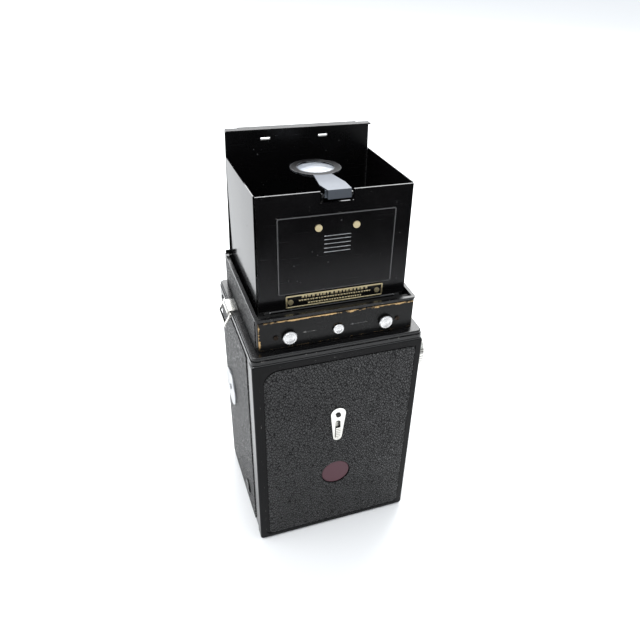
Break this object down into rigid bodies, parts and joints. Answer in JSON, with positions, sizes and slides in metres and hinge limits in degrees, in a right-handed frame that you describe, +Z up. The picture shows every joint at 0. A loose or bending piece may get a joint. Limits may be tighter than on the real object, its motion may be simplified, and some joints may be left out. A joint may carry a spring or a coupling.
{
  "type": "twin lens reflex camera",
  "caption": "Boxy leather-covered roll-film camera with stacked geared lenses, an open folding viewing hood with magnifier, and a hinged back door with red window.",
  "frame": {"origin": "mouth of the tripod socket, in the middle of the bottom plane", "axes": "+Z up along the camera's height, -Y the way the lenses look, +Y the back door, +X the viewer's left"},
  "size_m": [0.0957, 0.095, 0.203],
  "materials": {
    "black_enamel": "gloss",
    "black_leather": "pebbled",
    "bright_nickel": "polished",
    "satin_aluminium": "satin",
    "brass": "aged",
    "steel": "brushed",
    "clear_glass": "polished",
    "silver_mirror": "polished",
    "red_plastic": "clear"
  },
  "bodies": {
    "camera": {"body_shell": "black_enamel", "base_plate": "black_enamel", "tripod_bush": "brass", "front_plate": "black_enamel", "body_leathers": "black_leather", "top_deck": "black_enamel", "film_frame": "black_enamel", "film_gate": "black_enamel", "mirror_shelf": "black_enamel", "mirror": "silver_mirror", "focusing_screen": "clear_glass", "head_housing": "black_enamel", "head_leather": "black_leather", "head_rear_plate": "black_enamel", "small_screws": "bright_nickel", "hood_base": "black_enamel", "hinge_pins": "steel", "strap_lugs": "bright_nickel", "side_disc": "bright_nickel", "lens_board": "black_enamel", "shutter_housing": "satin_aluminium", "shutter_blades": "black_enamel", "rear_glass": "clear_glass", "viewing_tube": "satin_aluminium"},
    "hood_release": {"hood_release_button": "bright_nickel"},
    "latch_left": {"latch_button_left": "bright_nickel"},
    "latch_right": {"latch_button_right": "bright_nickel"},
    "side_panel_left": {"hood_side_left": "black_enamel"},
    "side_panel_right": {"hood_side_right": "black_enamel"},
    "rear_panel": {"hood_rear_panel": "black_enamel", "nameplate": "brass", "panel_rivets": "brass", "magnifier_bracket": "black_enamel"},
    "magnifier": {"magnifier_arm": "bright_nickel", "magnifier_glass": "clear_glass"},
    "lid": {"hood_lid": "black_enamel"},
    "door": {"back_door": "black_enamel", "door_leather": "black_leather", "red_window": "red_plastic", "window_plate": "bright_nickel"},
    "slider": {"window_slider": "bright_nickel"},
    "blade": {"window_blade": "black_enamel"},
    "film_pad": {"pressure_plate": "black_enamel"},
    "winder": {"winding_knob": "bright_nickel", "takeup_spool": "steel"},
    "spool_pin": {"supply_pin": "black_enamel"},
    "roller_top": {"film_roller_top": "steel"},
    "roller_bottom": {"film_roller_bottom": "steel"},
    "ring_left": {"strap_ring_left": "bright_nickel"},
    "ring_right": {"strap_ring_right": "bright_nickel"},
    "speed": {"speed_ring": "satin_aluminium"},
    "aperture": {"aperture_lever": "bright_nickel"},
    "cocking": {"cocking_lever": "bright_nickel"},
    "release": {"release_lever": "bright_nickel"},
    "taking_ring": {"taking_focus_ring": "satin_aluminium"},
    "viewing_ring": {"viewing_focus_ring": "satin_aluminium"},
    "taking_cell": {"taking_lens_cell": "bright_nickel", "taking_glass": "clear_glass"},
    "viewing_cell": {"viewing_lens_cell": "bright_nickel", "viewing_glass": "clear_glass"}
  },
  "joints": [
    {"name": "left_side_fold", "type": "hinge", "parent": "camera", "child": "side_panel_left", "pos_m": [0.0351, -0.003, 0.1326], "axis": [0, -1, 0], "range_deg": [0, 89.1]},
    {"name": "right_side_fold", "type": "hinge", "parent": "camera", "child": "side_panel_right", "pos_m": [-0.0351, -0.003, 0.134], "axis": [0, 1, 0], "range_deg": [0, 89.1]},
    {"name": "rear_panel_fold", "type": "hinge", "parent": "camera", "child": "rear_panel", "pos_m": [0, 0.02445, 0.1388], "axis": [1, 0, 0], "range_deg": [0, 90]},
    {"name": "magnifier_fold", "type": "hinge", "parent": "rear_panel", "child": "magnifier", "pos_m": [0, 0.0245, 0.1914], "axis": [1, 0, 0], "range_deg": [0, 86.5]},
    {"name": "lid_tilt", "type": "hinge", "parent": "camera", "child": "lid", "pos_m": [0, -0.0323, 0.1416], "axis": [-1, 0, 0], "range_deg": [-6, 0.8]},
    {"name": "hood_release_press", "type": "slide", "parent": "camera", "child": "hood_release", "axis": [0, -1, 0], "range_m": [0, 0.0012], "stiffness_N_per_m": 400},
    {"name": "latch_left_press", "type": "slide", "parent": "camera", "child": "latch_left", "axis": [0, -1, 0], "range_m": [0, 0.0007], "stiffness_N_per_m": 400},
    {"name": "latch_right_press", "type": "slide", "parent": "camera", "child": "latch_right", "axis": [0, -1, 0], "range_m": [0, 0.0007], "stiffness_N_per_m": 400},
    {"name": "door_hinge", "type": "hinge", "parent": "camera", "child": "door", "pos_m": [0, 0.0322, 0.0024], "axis": [-1, 0, 0], "range_deg": [0, 95]},
    {"name": "window_slide", "type": "slide", "parent": "door", "child": "slider", "axis": [0, 0, 1], "range_m": [0, 0.0036]},
    {"name": "window_blade_swing", "type": "hinge", "parent": "door", "child": "blade", "pos_m": [0, 0.034, 0.0812], "axis": [0, 1, 0], "range_deg": [0, 26]},
    {"name": "pressure_plate_give", "type": "slide", "parent": "door", "child": "film_pad", "axis": [0, 1, 0], "range_m": [0, 0.0014], "stiffness_N_per_m": 300},
    {"name": "winding_turn", "type": "hinge", "parent": "camera", "child": "winder", "pos_m": [-0.045, 0.0185, 0.1015], "axis": [1, 0, 0], "continuous": true},
    {"name": "supply_pin_pull", "type": "slide", "parent": "camera", "child": "spool_pin", "axis": [1, 0, 0], "range_m": [0, 0.004], "stiffness_N_per_m": 150},
    {"name": "top_roller_turn", "type": "hinge", "parent": "camera", "child": "roller_top", "pos_m": [0, 0.0262, 0.0896], "axis": [1, 0, 0], "continuous": true},
    {"name": "bottom_roller_turn", "type": "hinge", "parent": "camera", "child": "roller_bottom", "pos_m": [0, 0.026, 0.0246], "axis": [1, 0, 0], "continuous": true},
    {"name": "left_ring_swing", "type": "hinge", "parent": "camera", "child": "ring_left", "pos_m": [0.0429, -0.0095, 0.1232], "axis": [0, -1, 0], "range_deg": [-24, 140]},
    {"name": "right_ring_swing", "type": "hinge", "parent": "camera", "child": "ring_right", "pos_m": [-0.0429, -0.0095, 0.1232], "axis": [0, 1, 0], "range_deg": [-24, 140]},
    {"name": "speed_ring_turn", "type": "hinge", "parent": "camera", "child": "speed", "pos_m": [0, -0.048, 0.057], "axis": [0, 1, 0], "range_deg": [-60, 60]},
    {"name": "aperture_swing", "type": "hinge", "parent": "camera", "child": "aperture", "pos_m": [0, -0.0466, 0.057], "axis": [0, 1, 0], "range_deg": [-25, 25]},
    {"name": "cocking_swing", "type": "hinge", "parent": "camera", "child": "cocking", "pos_m": [0, -0.0407, 0.057], "axis": [0, 1, 0], "range_deg": [0, 24], "stiffness_Nm_per_rad": 0.004},
    {"name": "release_swing", "type": "hinge", "parent": "camera", "child": "release", "pos_m": [0, -0.0438, 0.057], "axis": [0, 1, 0], "range_deg": [0, 14], "stiffness_Nm_per_rad": 0.008},
    {"name": "focus_turn", "type": "hinge", "parent": "camera", "child": "taking_ring", "pos_m": [0, -0.051, 0.057], "axis": [0, 1, 0], "range_deg": [0, 180]},
    {"name": "viewing_turn", "type": "hinge", "parent": "camera", "child": "viewing_ring", "pos_m": [0, -0.051, 0.1], "axis": [0, 1, 0], "range_deg": [-180, 0]},
    {"name": "taking_cell_travel", "type": "slide", "parent": "taking_ring", "child": "taking_cell", "axis": [0, -1, 0], "range_m": [0, 0.003]},
    {"name": "viewing_cell_travel", "type": "slide", "parent": "viewing_ring", "child": "viewing_cell", "axis": [0, -1, 0], "range_m": [0, 0.003]}
  ],
  "couplings": [
    {"joint": "magnifier_fold", "follows": "rear_panel_fold", "ratio": 0.9611},
    {"joint": "window_blade_swing", "follows": "window_slide", "rad_per_m": 125.57},
    {"joint": "viewing_turn", "follows": "focus_turn", "ratio": -1},
    {"joint": "taking_cell_travel", "follows": "focus_turn", "m_per_rad": 0.00095175},
    {"joint": "viewing_cell_travel", "follows": "focus_turn", "m_per_rad": 0.00095175}
  ]
}
